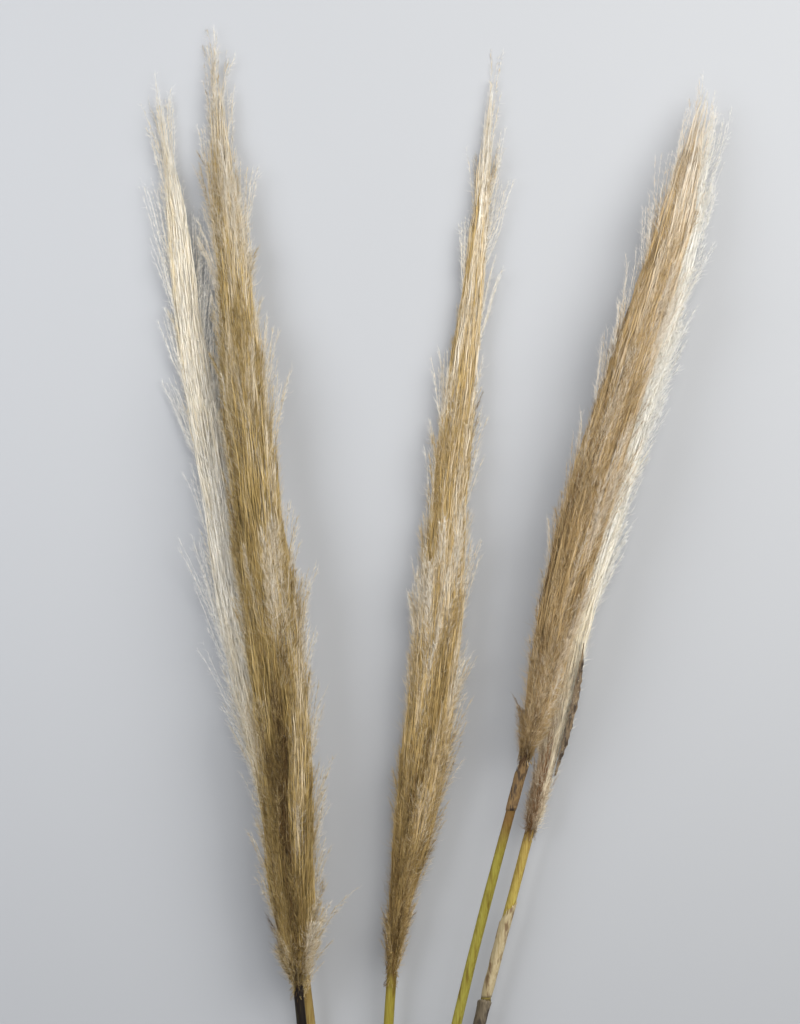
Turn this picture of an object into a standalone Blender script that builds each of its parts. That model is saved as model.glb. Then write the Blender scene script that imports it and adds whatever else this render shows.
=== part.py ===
"""Bundle of pampas grass: five cut and dried stalks that lie together on a flat surface.

Each stalk is one stem, which runs on as the spine of its plume, and nine locks of side branches that
spring from that spine. Three leaf sheaths and a withered leaf are left on the two right-hand stalks.

Frame: metres, +Z up. The surface is Z = 0, the stalks lie along Y with their tips towards +Y and their
cut ends gathered towards -Y. The origin is under the middle of the bundle.
"""

import math

import bpy
import numpy as np

MM = 0.001
COLLECTION = "pampas_grass_bundle"

# Each stalk, from its cut end to its tip: (y, x, z, plume half width) in mm. The half width is 0 along
# the bare stem, and its first value above 0 is at the neck, where the plume starts.
STALKS = {
    "left_front": (
        (-548, -60, 14.3, 0),
        (-206, -111, 33, 4.5),
        (-165, -113, 35.5, 19),
        (-110, -117, 39, 25),
        (10, -124, 44, 28),
        (130, -138, 44, 27.5),
        (260, -153, 37, 24),
        (390, -165, 18, 17),
        (455, -174, 11.5, 14),
        (515, -177, 7, 6),
        (558, -177, 4, 1),
    ),
    "left_back": (
        (-556, -66, 4.9, 0),
        (-235, -102, 10.5, 0),
        (-178, -109, 12, 4.5),
        (-75, -126, 12.6, 15),
        (5, -143, 12.2, 19),
        (70, -157, 12, 19.5),
        (200, -178, 10.8, 17),
        (325, -200, 9.2, 14.5),
        (420, -210, 7.2, 10),
        (485, -221, 5, 5),
        (530, -226, 3, 1),
    ),
    "middle": (
        (-543, -54, 4.9, 0),
        (-182, -35, 15.5, 4.5),
        (-150, -31, 16.2, 9),
        (-90, -20, 17.2, 20),
        (-40, -12, 17.6, 24),
        (70, 1, 17.4, 23.5),
        (200, 11, 14.5, 18.5),
        (325, 26, 11, 13),
        (455, 39, 7, 6),
        (548, 46, 3, 1),
    ),
    "right_front": (
        (-551, -48, 14.3, 0),
        (-235, 16, 27.5, 0),
        (-28, 69, 36, 4.5),
        (20, 82, 40, 15),
        (70, 92, 43, 20),
        (200, 126, 46.5, 25),
        (325, 166, 42.5, 23),
        (400, 189, 35, 19),
        (455, 202, 25.5, 14),
        (522, 220, 13, 1),
    ),
    "right_back": (
        (-560, -42, 4.9, 0),
        (-235, 35, 13, 0),
        (-89, 73, 15.8, 4.5),
        (-26, 89, 15.6, 9),
        (22, 98, 15.2, 14.5),
        (70, 105, 14.8, 19.5),
        (200, 140, 14.2, 24.5),
        (325, 178, 12.8, 22.5),
        (390, 196, 11.2, 18.5),
        (455, 213, 8, 11),
        (506, 228, 3.5, 1),
    ),
}

# Height of each plume over its width: the ones that lie on the surface are pressed flattest.
FLATNESS = {
    "left_front": 0.63,
    "left_back": 0.6,
    "middle": 0.72,
    "right_front": 0.62,
    "right_back": 0.56,
}

# Stem radii in mm, and where the swollen growth rings (nodes) of each stem are along Y.
CUT_END_RADIUS = 4.5
NECK_RADIUS = 3.8
SPINE_END_RADIUS = 1.1
RING_SWELL = 0.5
RING_HALF_LENGTH = 3.5
RINGS = {
    "left_front": (-470, -300),
    "left_back": (-452, -292),
    "middle": (-476, -310),
    "right_front": (-482, -322),
    "right_back": (-424, -221),
}
STEM_STEP = 42.0
SPINE_END_SHARE = 0.57

# Locks of side branches. A tier's outer limit leaves the spine at `root` and meets the plume's surface
# at `out`, both as shares of the plume's length. `count` locks share the turn round the spine, and the
# first of them faces `turn` degrees.
TIERS = (
    {"name": "low", "root": None, "out": None, "count": 3, "turn": 90},
    {"name": "mid", "root": 0.12, "out": 0.52, "count": 3, "turn": 30},
    {"name": "high", "root": 0.36, "out": 0.76, "count": 2, "turn": 0},
    {"name": "tip", "root": 0.60, "out": 0.92, "count": 1, "turn": 0},
)
# The shares at which every plume is sectioned. All the locks of a plume share them, so that
# neighbours stay parallel between two sections. Each tier's root and out are among them.
SECTIONS = (0, 0.06, *(0.12 + 0.08 * step for step in range(12)))
ROOT_START = 0.04
OUT_STOP = 0.03
LOCK_ARC_POINTS = 7
LOCK_ROUNDING = 3.0
SPINE_GAP = 0.8  # between the spine and the locks, in mm
LEAST_DEPTH = 1.4  # of the plume over its spine, in mm
TIER_GAP_SHARE = 0.06  # of the depth between the spine and the surface
SECTOR_FILL = 0.93
# How much of its sector a lock fills, from its root to its pointed end.
LOCK_SPREAD = ((0, 0.7), (0.15, 0.95), (0.6, 1), (0.82, 0.7), (1, 0.12))

# Leaf sheaths: a thin wall rolled round a stem, open along a slit. Lengths in mm. The slit is its
# direction and width in degrees, and the slant is how far one side of the upper edge drops.
SHEATH_CLEARANCE = 0.45
SHEATHS = {
    "sheath_right_back_upper": {
        "stalk": "right_back",
        "span": (-217, -140),
        "wall": 0.45,
        "flare": 0.5,
        "slant": 16,
        "slit": (200, 70),
        "finish": "papery_sheath",
    },
    "sheath_right_back_lower": {
        "stalk": "right_back",
        "span": (-412, -226),
        "wall": 0.6,
        "flare": 0.0,
        "slant": 5,
        "slit": (300, 40),
        "finish": "dark_sheath",
    },
    "sheath_right_front_neck": {
        "stalk": "right_front",
        "span": (-66, -30),
        "wall": 0.5,
        "flare": 0.1,
        "slant": 14,
        "slit": (250, 60),
        "finish": "neck_sheath",
    },
}
SHEATH_COLUMNS = 14
SHEATH_ROWS = 6

# The withered leaf lies against the right back plume, on the side away from the other stalks.
LEAF_SPAN = (-40, 68)
LEAF_ANGLES = (34, 52)
LEAF_CLEARANCE = 1.2
LEAF_HALF_WIDTH = 2.6
LEAF_THICKNESS = 0.7
LEAF_ROWS = 12

# Finish: base colour (linear RGB), roughness.
FINISHES = {
    "stem_left_front": ((0.075, 0.045, 0.025), 0.6),
    "stem_left_back": ((0.36, 0.24, 0.10), 0.6),
    "stem_middle": ((0.42, 0.36, 0.08), 0.5),
    "stem_right_front": ((0.33, 0.30, 0.07), 0.5),
    "stem_right_back": ((0.52, 0.38, 0.10), 0.5),
    "plume_left_front": ((0.45, 0.33, 0.19), 0.85),
    "plume_left_back": ((0.76, 0.66, 0.49), 0.85),
    "plume_middle": ((0.52, 0.39, 0.22), 0.85),
    "plume_right_front": ((0.42, 0.30, 0.18), 0.85),
    "plume_right_back": ((0.80, 0.72, 0.60), 0.85),
    "papery_sheath": ((0.50, 0.40, 0.26), 0.7),
    "dark_sheath": ((0.17, 0.14, 0.10), 0.7),
    "neck_sheath": ((0.13, 0.08, 0.04), 0.7),
    "withered_leaf": ((0.10, 0.07, 0.045), 0.75),
}


def clear_scene():
    for old in list(bpy.data.objects):
        bpy.data.objects.remove(old, do_unlink=True)


def smooth_value(at, places, values):
    """Values at `at` on a smooth curve through the given points, with no overshoot between them."""
    places = np.asarray(places, float)
    values = np.asarray(values, float)
    slopes = np.diff(values) / np.diff(places)
    inner = np.zeros(len(values))
    same_way = slopes[1:] * slopes[:-1] > 0
    inner[1:-1][same_way] = (2 * slopes[1:] * slopes[:-1])[same_way] / (slopes[1:] + slopes[:-1])[same_way]
    inner[0] = slopes[0]
    inner[-1] = slopes[-1]
    at = np.clip(at, places[0], places[-1])
    i = np.clip(np.searchsorted(places, at, side="right") - 1, 0, len(slopes) - 1)
    width = places[i + 1] - places[i]
    t = (at - places[i]) / width
    start = (1 + 2 * t) * (1 - t) ** 2 * values[i] + t * (1 - t) ** 2 * width * inner[i]
    end = t * t * (3 - 2 * t) * values[i + 1] + t * t * (t - 1) * width * inner[i + 1]
    return start + end


class Stalk:
    """One stalk's line and sizes, as smooth functions of y in mm."""

    def __init__(self, name):
        rows = np.array(STALKS[name], float)
        self.name = name
        self.y, self.x, self.z, self.half = rows.T
        self.first = int(np.flatnonzero(self.half > 0)[0])
        self.neck = self.y[self.first]
        self.tip = self.y[-1]
        self.cut_end = self.y[0]
        self.spine_end = self.at_share(SPINE_END_SHARE)

    def at_share(self, share):
        return self.neck + share * (self.tip - self.neck)

    def centre(self, y):
        return np.stack([smooth_value(y, self.y, self.x), y, smooth_value(y, self.y, self.z)], -1)

    def plume_half_width(self, y):
        return smooth_value(y, self.y[self.first :], self.half[self.first :])

    def stem_radius(self, y):
        radius = np.interp(
            y,
            (self.cut_end, self.neck, self.spine_end),
            (CUT_END_RADIUS, NECK_RADIUS, SPINE_END_RADIUS),
        )
        for ring in RINGS[self.name]:
            radius = radius + RING_SWELL * np.clip(1 - np.abs(y - ring) / RING_HALF_LENGTH, 0, 1)
        return radius

    def plume_sections(self, share):
        """Centre, spine clearance, half width and half height of the plume, straight between sections."""
        y = self.at_share(np.array(SECTIONS))
        core = np.where(y < self.spine_end + STEM_STEP, self.stem_radius(y) + SPINE_GAP, 0.0)
        least = core + LEAST_DEPTH * (core > 0)
        half_width = np.maximum(self.plume_half_width(y), least)
        half_height = np.maximum(self.plume_half_width(y) * FLATNESS[self.name], least)
        columns = (*self.centre(y).T, core, half_width, half_height)
        x, y, z, core, half_width, half_height = (np.interp(share, SECTIONS, c) for c in columns)
        return np.stack([x, y, z], -1), core, half_width, half_height

    def plume_point(self, share, rho, angle):
        """A point of the plume: rho is 0 just off the spine and 1 on the surface."""
        point, core, half_width, half_height = self.plume_sections(share)
        point[..., 0] += (core + rho * (half_width - core)) * np.cos(angle)
        point[..., 2] += (core + rho * (half_height - core)) * np.sin(angle)
        return point


def link_part(obj, finish):
    """Puts an object in the bundle's collection and gives it its own material."""
    collection = bpy.data.collections.get(COLLECTION)
    if collection is None:
        collection = bpy.data.collections.new(COLLECTION)
        bpy.context.scene.collection.children.link(collection)
    collection.objects.link(obj)
    colour, roughness = FINISHES[finish]
    material = bpy.data.materials.new(obj.name)
    material.use_nodes = True
    shader = material.node_tree.nodes["Principled BSDF"]
    shader.inputs["Base Color"].default_value = (*colour, 1.0)
    shader.inputs["Roughness"].default_value = roughness
    shader.inputs["Metallic"].default_value = 0.0
    obj.data.materials.append(material)


def mesh_object(name, points_mm, faces, finish):
    mesh = bpy.data.meshes.new(name)
    mesh.from_pydata((np.asarray(points_mm) * MM).tolist(), [], faces)
    mesh.validate()
    mesh.shade_smooth()
    mesh.set_sharp_from_angle(angle=math.radians(50))
    obj = bpy.data.objects.new(name, mesh)
    link_part(obj, finish)
    return obj


def make_stem(stalk):
    """The woody stem with its swollen rings, tapering on as the spine inside the plume."""
    stops = [stalk.cut_end, stalk.spine_end]
    for ring in RINGS[stalk.name]:
        stops += [ring - RING_HALF_LENGTH, ring, ring + RING_HALF_LENGTH]
    stops.sort()
    stations = []
    for low, high in zip(stops[:-1], stops[1:]):
        pieces = max(1, round((high - low) / STEM_STEP))
        stations += list(np.linspace(low, high, pieces, endpoint=False))
    stations = np.array(stations + [stops[-1]])
    curve = bpy.data.curves.new("stem_" + stalk.name, "CURVE")
    curve.dimensions = "3D"
    curve.bevel_depth = MM
    curve.bevel_resolution = 2
    curve.use_fill_caps = True
    spline = curve.splines.new("POLY")
    spline.points.add(len(stations) - 1)
    radii = stalk.stem_radius(stations)
    for point, place, radius in zip(spline.points, stalk.centre(stations) * MM, radii):
        point.co = (*place, 1.0)
        point.radius = radius
    spline.use_smooth = True
    obj = bpy.data.objects.new("stem_" + stalk.name, curve)
    link_part(obj, "stem_" + stalk.name)


def tier_limit(tier, share):
    """How far out from the spine a tier's outer limit is at this share: 0 on the spine, 1 outside."""
    if tier["root"] is None:
        return np.ones_like(share)
    return np.clip((share - tier["root"]) / (tier["out"] - tier["root"]), 0, 1)


def make_lock(stalk, name, tier, next_tier, number):
    """One lock of side branches: a closed loft that leaves the spine and tapers out at the surface."""
    start = 0.0 if tier["root"] is None else tier["root"] + ROOT_START
    end = 1.0 if next_tier is None else next_tier["out"] - OUT_STOP
    share = np.array([start, *(s for s in SECTIONS if start + 0.01 < s < end - 0.01), end])
    outer = tier_limit(tier, share) - (0 if tier["root"] is None else TIER_GAP_SHARE / 2)
    if next_tier is None:
        inner = np.zeros(len(share))
    else:
        inner = tier_limit(next_tier, share)
        inner = np.where(inner > 0, inner + TIER_GAP_SHARE / 2, 0.0)
    # Round the section: along the outer arc, then back along the inner one.
    arc = np.linspace(-1, 1, LOCK_ARC_POINTS)
    around = np.concatenate([arc, arc[-2:0:-1]])
    across = np.sqrt(1 - np.abs(around) ** LOCK_ROUNDING)
    across[LOCK_ARC_POINTS:] *= -1
    sides = len(around)
    if next_tier is None:
        # The tip tuft has no spine inside it, so its rings are plain ovals round the centre line.
        rho = np.repeat(np.maximum(outer, 0.04)[:, None], sides, 1)
        angle = np.repeat(2 * math.pi * np.arange(sides)[None] / sides, len(share), 0)
    else:
        middle = (outer + inner)[:, None] / 2
        depth = np.maximum(outer - inner, 0.012)[:, None] / 2
        rho = np.clip(middle + depth * across, 0, 1)
        along = (share - start) / (end - start)
        spread = np.interp(along, *zip(*LOCK_SPREAD))
        half_turn = math.pi / tier["count"] * SECTOR_FILL * spread
        centre_turn = math.radians(tier["turn"]) + 2 * math.pi * number / tier["count"]
        angle = centre_turn + half_turn[:, None] * around
    rings = stalk.plume_point(np.repeat(share[:, None], sides, 1), rho, angle)
    points = list(rings.reshape(-1, 3))
    faces = []
    for ring in range(len(share) - 1):
        for side in range(sides):
            a = ring * sides + side
            b = ring * sides + (side + 1) % sides
            faces.append((a, a + sides, b + sides, b))
    last = (len(share) - 1) * sides
    faces.append(tuple(range(sides)))
    faces.append(tuple(last + side for side in reversed(range(sides))))
    mesh_object(name, points, faces, "plume_" + stalk.name)


def make_plume(stalk):
    for tier, next_tier in zip(TIERS, (*TIERS[1:], None)):
        for number in range(tier["count"]):
            label = tier["name"] if tier["count"] == 1 else f"{tier['name']}_{number + 1}"
            make_lock(stalk, f"plume_{stalk.name}_{label}", tier, next_tier, number)


def solidify(obj, thickness_mm, offset):
    wall = obj.modifiers.new("wall", "SOLIDIFY")
    wall.thickness = thickness_mm * MM
    wall.offset = offset
    wall.use_even_offset = True


def grid_faces(rows, columns):
    faces = []
    for row in range(rows - 1):
        for column in range(columns - 1):
            a = row * columns + column
            faces.append((a, a + 1, a + columns + 1, a + columns))
    return faces


def make_sheath(name, stalk, span, wall, flare, slant, slit, finish):
    """A leaf sheath: a sheet rolled round the stem that leaves a slit, with a slanting upper edge."""
    slit_middle, slit_width = (math.radians(angle) for angle in slit)
    around = np.linspace(slit_width / 2, 2 * math.pi - slit_width / 2, SHEATH_COLUMNS)
    points = []
    for share in np.linspace(0, 1, SHEATH_ROWS):
        top = span[1] - slant * (0.5 + 0.5 * np.cos(around))
        y = span[0] + share * (top - span[0])
        radius = stalk.stem_radius(y) + SHEATH_CLEARANCE + flare * share**3
        place = stalk.centre(y)
        place[:, 0] += radius * np.cos(slit_middle + around)
        place[:, 2] += radius * np.sin(slit_middle + around)
        points += list(place)
    sheet = mesh_object(name, points, grid_faces(SHEATH_ROWS, SHEATH_COLUMNS), finish)
    solidify(sheet, wall, -1.0)


def make_leaf(stalk):
    """A narrow withered leaf, a flat strip that narrows to a point against the plume."""
    points = []
    for share in np.linspace(0, 1, LEAF_ROWS):
        y = LEAF_SPAN[0] + share * (LEAF_SPAN[1] - LEAF_SPAN[0])
        angle = math.radians(LEAF_ANGLES[0] + share * (LEAF_ANGLES[1] - LEAF_ANGLES[0]))
        half = LEAF_HALF_WIDTH * math.sqrt(max(1.02 - abs(2 * share - 0.8) ** 2 / 1.45, 0.02))
        wide = stalk.plume_half_width(y) + LEAF_CLEARANCE + LEAF_THICKNESS
        high = stalk.plume_half_width(y) * FLATNESS[stalk.name] + LEAF_CLEARANCE + LEAF_THICKNESS
        centre = stalk.centre(np.array(y))
        centre += np.array([wide * math.cos(angle), 0, high * math.sin(angle)])
        side = np.array([math.sin(angle), 0, -math.cos(angle)])
        points += [centre - half * side, centre + half * side]
    strip = mesh_object("leaf_right_back", points, grid_faces(LEAF_ROWS, 2), "withered_leaf")
    solidify(strip, LEAF_THICKNESS, 0.0)


def main():
    clear_scene()
    stalks = {name: Stalk(name) for name in STALKS}
    for stalk in stalks.values():
        make_stem(stalk)
        make_plume(stalk)
    for name, shape in SHEATHS.items():
        make_sheath(name, **{**shape, "stalk": stalks[shape["stalk"]]})
    make_leaf(stalks["right_back"])


main()
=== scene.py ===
"""Looks for a bundle of pampas grass: five cut and dried stalks that lie together on a flat surface.

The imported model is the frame. Every lock of a plume is replaced by its branchlets and silky hairs, and
each stem, leaf sheath and leaf by a finer piece, all worked out from the frame's own solids.
Metres, +Z up. The tips of the stalks point towards +Y.
"""

import math

import bpy
import numpy as np
from bpy.props import EnumProperty, FloatProperty, FloatVectorProperty, IntProperty, PointerProperty
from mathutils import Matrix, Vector


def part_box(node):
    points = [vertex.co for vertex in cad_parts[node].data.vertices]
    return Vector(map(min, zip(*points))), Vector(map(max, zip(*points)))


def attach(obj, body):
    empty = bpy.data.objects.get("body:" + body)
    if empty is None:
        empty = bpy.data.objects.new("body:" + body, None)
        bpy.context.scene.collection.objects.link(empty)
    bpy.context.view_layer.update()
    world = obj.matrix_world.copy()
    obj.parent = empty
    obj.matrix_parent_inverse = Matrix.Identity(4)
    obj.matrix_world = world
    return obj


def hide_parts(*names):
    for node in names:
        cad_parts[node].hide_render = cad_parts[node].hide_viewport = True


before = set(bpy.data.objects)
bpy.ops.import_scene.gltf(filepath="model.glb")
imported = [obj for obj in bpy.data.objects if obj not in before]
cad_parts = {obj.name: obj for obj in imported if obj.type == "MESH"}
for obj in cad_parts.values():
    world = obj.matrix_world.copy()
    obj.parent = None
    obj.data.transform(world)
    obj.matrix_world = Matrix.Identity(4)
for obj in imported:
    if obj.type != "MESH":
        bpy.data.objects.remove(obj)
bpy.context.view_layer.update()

bl_info = {
    "name": "Pampas grass bundle",
    "version": (1, 0, 0),
    "blender": (4, 5, 0),
    "location": "3D View > Sidebar > Pampas",
    "description": "Grows the hair, stems, sheaths and leaf of a bundle of dried pampas grass",
    "category": "Object",
}

MM = 0.001
TAU = 2 * math.pi
BODY = "root"
STALKS = ("left_front", "left_back", "middle", "right_front", "right_back")
UP, RIGHT, LEFT = math.radians(90), 0.0, math.radians(180)
# The map that the colours are laid out on: along a strand, and its tone across.
STRAND_MAP = "OFBake"
# A Mix node has a result for each kind of data, and the colour's is the third.
COLOUR_RESULT = 2


def linear(code):
    """An sRGB hex colour as linear values."""
    values = [int(code[i : i + 2], 16) / 255 for i in (1, 3, 5)]
    return [v / 12.92 if v <= 0.04045 else ((v + 0.055) / 1.055) ** 2.4 for v in values]


# ---------------------------------------------------------------- sizes and colours

def colour_setting(name, code, description):
    return FloatVectorProperty(
        name=name, description=description, subtype="COLOR", size=3, min=0.0, max=1.0, default=linear(code)
    )


def length_setting(name, mm, description):
    return FloatProperty(
        name=name, description=description, subtype="DISTANCE", unit="LENGTH", min=0.0, default=mm * MM
    )


class PampasHairSettings(bpy.types.PropertyGroup):
    hair_length: length_setting("Hair length", 14.0, "Mean length of the silky hairs on a branchlet")
    # A real hair is about 0.05 mm wide. It is drawn as wide as it needs to be to show.
    hair_width: length_setting("Hair width", 0.25, "Width of a hair at its root")
    hair_lean: FloatProperty(
        name="Lean", description="Mean angle between a hair and its branchlet", subtype="ANGLE",
        default=math.radians(19), min=0.0, max=math.radians(60),
    )
    hairs_per_cm2: FloatProperty(
        name="Hairs per cm2", description="Hairs on each square centimetre of a plume", default=136.0, min=1.0
    )
    hairs_per_branchlet: IntProperty(
        name="Hairs per branchlet", description="Hairs that one branchlet carries", default=145, min=4
    )
    spikelets_per_branchlet: IntProperty(
        name="Spikelets", description="Dry flower husks that one branchlet carries", default=7, min=0
    )
    branchlet_least: length_setting("Shortest branchlet", 70.0, "Length of the shortest branchlets")
    branchlet_most: length_setting("Longest branchlet", 150.0, "Length of the longest branchlets")
    branchlet_width: length_setting("Branchlet width", 0.45, "Width of a branchlet's own stalk at its root")
    seed: IntProperty(name="Seed", description="Start of every random draw", default=7, min=0)


class PampasColours(bpy.types.PropertyGroup):
    # Each deep colour is the darkest hair: partly the brown of the branchlets, partly painted shade in the
    # depths between them.
    left_front_deep: colour_setting("Left front, deep", "#4a3010", "Depths between the branchlets")
    left_front_middle: colour_setting("Left front, middle", "#c0a566", "Hair of the lower plume")
    left_front_pale: colour_setting("Left front, pale", "#fffaf0", "Bleached hair and hair tips")
    left_back_deep: colour_setting("Left back, deep", "#a3824c", "Depths between the branchlets")
    left_back_middle: colour_setting("Left back, middle", "#e6d3a8", "Hair of the lower plume")
    left_back_pale: colour_setting("Left back, pale", "#fffdf8", "Bleached hair and hair tips")
    middle_deep: colour_setting("Middle, deep", "#50350f", "Depths between the branchlets")
    middle_middle: colour_setting("Middle, middle", "#c9ac6e", "Hair of the lower plume")
    middle_pale: colour_setting("Middle, pale", "#fffbf2", "Bleached hair and hair tips")
    right_front_deep: colour_setting("Right front, deep", "#583e22", "Depths between the branchlets")
    right_front_middle: colour_setting("Right front, middle", "#c4a774", "Hair of the lower plume")
    right_front_pale: colour_setting("Right front, pale", "#fffaf0", "Bleached hair and hair tips")
    right_back_deep: colour_setting("Right back, deep", "#7c5424", "Depths between the branchlets")
    right_back_middle: colour_setting("Right back, middle", "#f8ecd0", "Hair of the lower plume")
    right_back_pale: colour_setting("Right back, pale", "#fffefa", "Bleached hair and hair tips")
    floor: colour_setting("Surface", "#afb1b5", "The plain surface that the bundle lies on")


# What each plume looks like. Shares run from 0 at the neck to 1 at the tip, and tone from 0, deep, to
# 1, pale. `right` makes its right side paler and its left side darker, partly the hair's own colour and
# partly painted light from the right. `streak` darkens a stripe along the top of the lower end
# as (depth, share where it ends), `beard` is how far in mm short hair goes on below the neck, and
# `mottle` is how much neighbouring branchlets differ.
# A wisp is a branchlet that stands clear: (share at its tip, side, how far out in mm, length in mm).
PLUME_LOOKS = {
    "left_front": {
        "tone": ((0, 0.36), (0.12, 0.48), (0.35, 0.54), (0.6, 0.58), (0.8, 0.63), (0.92, 0.72), (1, 0.80)),
        "right": 0.06,
        "beard": 13,
        "streak": (0.5, 0.46),
        "mottle": 0.21,
        "wisps": (
            (0.095, RIGHT, 25, 62), (0.03, RIGHT, 9, 40), (0.055, RIGHT, 12, 50), (0.08, RIGHT, 8, 50),
            (0.05, LEFT, 6, 40), (0.12, LEFT, 8, 60), (0.15, RIGHT, 11, 70), (0.20, RIGHT, 9, 70),
            (0.24, RIGHT, 13, 80), (0.29, RIGHT, 10, 80), (0.33, RIGHT, 15, 90), (0.38, RIGHT, 9, 80),
            (0.44, RIGHT, 14, 90), (0.50, RIGHT, 8, 80), (0.64, RIGHT, 16, 90), (0.70, RIGHT, 11, 80),
            (0.17, LEFT, 11, 70), (0.86, RIGHT, 12, 80), (0.90, LEFT, 8, 60), (0.95, RIGHT, 7, 60),
        ),
    },
    "left_back": {
        "tone": ((0, 0.50), (0.12, 0.64), (0.28, 0.80), (0.42, 0.94), (0.6, 0.86), (1, 0.72)),
        "right": 0.04,
        "beard": 5,
        "streak": (0.1, 0.2),
        "mottle": 0.12,
        "wisps": (
            (0.36, LEFT, 16, 120), (0.42, LEFT, 11, 110), (0.47, LEFT, 17, 120), (0.55, LEFT, 8, 100),
            (0.64, LEFT, 13, 100), (0.72, LEFT, 10, 90), (0.87, LEFT, 13, 110), (0.80, LEFT, 8, 90),
            (0.94, LEFT, 6, 80), (0.28, LEFT, 10, 90), (0.97, RIGHT, 5, 70), (0.50, RIGHT, 10, 110),
            (0.54, RIGHT, 14, 110), (0.57, RIGHT, 10, 110), (0.60, RIGHT, 15, 110), (0.63, RIGHT, 10, 110),
            (0.66, RIGHT, 14, 110), (0.69, RIGHT, 10, 110), (0.72, RIGHT, 13, 110), (0.76, RIGHT, 9, 100),
            (0.80, RIGHT, 11, 100), (0.84, RIGHT, 8, 100),
        ),
    },
    "middle": {
        "tone": (
            (0, 0.30), (0.04, 0.36), (0.12, 0.45), (0.35, 0.59), (0.6, 0.65), (0.8, 0.76), (0.92, 0.88),
            (1, 0.92),
        ),
        "right": 0.05,
        "beard": 28,
        "streak": (0.12, 0.3),
        "mottle": 0.22,
        "wisps": (
            (0.66, LEFT, 12, 80), (0.76, RIGHT, 10, 80), (0.86, RIGHT, 14, 90), (0.91, RIGHT, 12, 80),
            (0.28, RIGHT, 9, 70), (0.34, RIGHT, 10, 70), (0.22, RIGHT, 8, 60), (0.56, RIGHT, 8, 80),
            (0.45, RIGHT, 9, 80), (0.60, RIGHT, 8, 70), (0.40, LEFT, 6, 70), (0.81, LEFT, 6, 80),
        ),
    },
    "right_front": {
        "tone": (
            (0, 0.33), (0.1, 0.46), (0.3, 0.49), (0.45, 0.51), (0.6, 0.57), (0.78, 0.70), (0.9, 0.70),
            (1, 0.82),
        ),
        "right": 0.08,
        "beard": 3,
        "streak": (0.12, 0.25),
        "mottle": 0.20,
        "wisps": (
            (0.62, LEFT, 9, 90), (0.68, LEFT, 7, 80), (0.74, LEFT, 11, 90), (0.83, LEFT, 9, 80),
            (0.9, LEFT, 12, 80), (0.5, LEFT, 8, 80), (0.95, LEFT, 6, 70), (0.97, RIGHT, 5, 60),
            (0.36, LEFT, 7, 70),
        ),
    },
    "right_back": {
        "tone": ((0, 0.22), (0.09, 0.33), (0.18, 0.47), (0.27, 0.60), (0.36, 0.76), (0.8, 0.92), (1, 0.90)),
        "right": 0.12,
        "beard": 4,
        "streak": (0.3, 0.25),
        "mottle": 0.12,
        "wisps": (
            (0.4, RIGHT, 6, 80), (0.5, RIGHT, 5, 80), (0.6, RIGHT, 7, 80), (0.7, RIGHT, 5, 80),
            (0.8, RIGHT, 7, 80), (0.88, RIGHT, 5, 80), (0.93, RIGHT, 8, 70), (0.98, RIGHT, 7, 60),
        ),
    },
}

# Stem colours by distance above the neck in mm (below it is negative), from the spine to the cut end.
STEM_LOOKS = {
    "left_front": (
        (90, "#4a3420"), (20, "#20160e"), (-30, "#19110c"), (-90, "#46351f"), (-190, "#7d6a38"),
        (-340, "#93854a"),
    ),
    "left_back": ((90, "#9a7848"), (10, "#937a4a"), (-60, "#98844e"), (-170, "#968b50"), (-375, "#8c8148")),
    "middle": (
        (90, "#7a5c34"), (5, "#5f4a2a"), (-16, "#7c6a34"), (-34, "#958a36"), (-170, "#9a9440"),
        (-360, "#878044"),
    ),
    "right_front": (
        (90, "#6a4e2e"), (5, "#4b3722"), (-46, "#7a5f34"), (-75, "#948c3a"), (-260, "#9c9642"),
        (-520, "#8a8446"),
    ),
    "right_back": (
        (90, "#8a6a42"), (10, "#6e5334"), (-6, "#b29c56"), (-60, "#bcac58"), (-150, "#b8aa5c"),
        (-470, "#a3965a"),
    ),
}
# Each sheath: how deep its upper edge is torn, how far it is drawn up under the hair, rib height and
# count, how far its edges and mouth lift, all in mm, and its skin (base, dark and pale colours, patch
# size in mm, how much of it stays unpatched, roughness).
SHEATH_LOOKS = {
    "sheath_right_back_upper": {
        "name": "torn_papery_sheath", "stalk": "right_back", "slot": "papery_sheath",
        "tear": 7, "rise": 2, "rib": 0.10, "ribs": 17, "lift": 0.7, "mouth": 0.5, "wall": 0.25,
        "skin": ("#a9976f", "#735a3c", "#c9bb9a", 4.0, 0.52, 0.72),
    },
    "sheath_right_back_lower": {
        "name": "dark_old_sheath", "stalk": "right_back", "slot": "dark_sheath",
        "tear": 1.5, "rise": 8, "rib": 0.12, "ribs": 15, "lift": 0.6, "mouth": 0.7, "wall": 0.35,
        "skin": ("#5c5140", "#352c22", "#857862", 7.0, 0.50, 0.75),
    },
    "sheath_right_front_neck": {
        "name": "ragged_neck_sheath", "stalk": "right_front", "slot": "neck_sheath",
        "tear": 8, "rise": 6, "rib": 0.10, "ribs": 13, "lift": 0.9, "mouth": 0.5, "wall": 0.3,
        "skin": ("#5f4628", "#2e2015", "#94784a", 3.0, 0.50, 0.7),
    },
}
STEM_SIDES = 20
STEM_STEP = 3.0 * MM
# Two rows of a stem's mesh are never closer than this.
LEAST_STEP = 0.2 * MM
# Points of a CAD stem that are further apart than this in y are on different rings.
RING_GAP = 1.0 * MM
# A ring that bulges by more than this is a joint.
JOINT_BULGE = 0.2 * MM
# The cut end as (share of the radius, depth in mm): the wall's rim, then a step down to soft pith that
# has dried back a little.
CUT_END = ((0.97, -0.25), (0.86, -0.25), (0.80, 0.5), (0.55, 1.0), (0.30, 1.3), (0.08, 1.1))
PITH_DEPTH = 1.1 * MM
# How far a sheath stands off its stem, where it is loose and where it hugs it.
SHEATH_CLEAR, SHEATH_HUG = 0.35 * MM, 0.08 * MM
SHEATH_COLUMNS = 64
SHEATH_STATIONS = 14
LEAF_ROWS, LEAF_COLUMNS = 90, 9

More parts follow.
